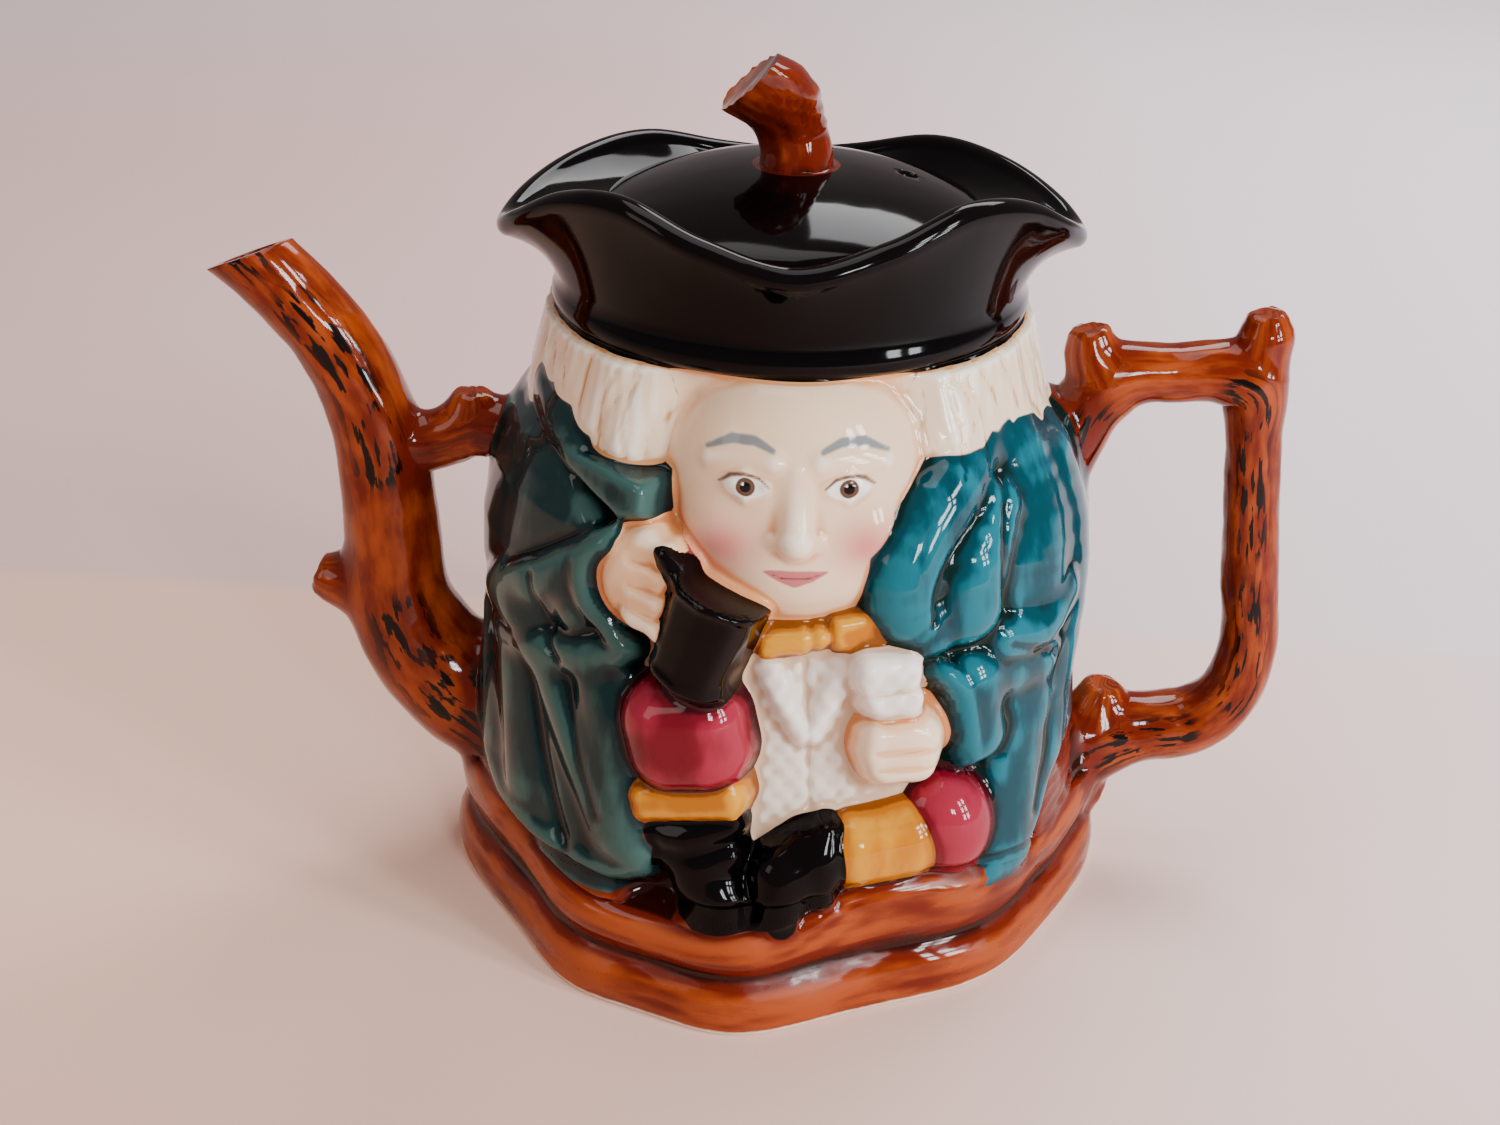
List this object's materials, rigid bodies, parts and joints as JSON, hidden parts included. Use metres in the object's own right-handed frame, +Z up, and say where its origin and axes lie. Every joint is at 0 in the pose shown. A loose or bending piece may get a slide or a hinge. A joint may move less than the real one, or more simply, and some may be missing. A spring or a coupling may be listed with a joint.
{
  "type": "toby teapot",
  "caption": "Hollow glazed teapot cast as a seated figure with a cocked hat, a twig spout, a twig handle and a loose lid with a twig finial.",
  "frame": {"origin": "middle of the flat foot, on the surface the teapot stands on", "axes": "+Z up, +X towards the handle with the spout at -X, -Y the way the figure looks"},
  "size_m": [0.2369, 0.1524, 0.1891],
  "materials": {
    "painted_glaze": "hand painted under a clear gloss glaze",
    "black_glaze": "gloss black glaze"
  },
  "bodies": {
    "root": {"teapot_body": "painted_glaze", "lid": "black_glaze"}
  },
  "joints": []
}
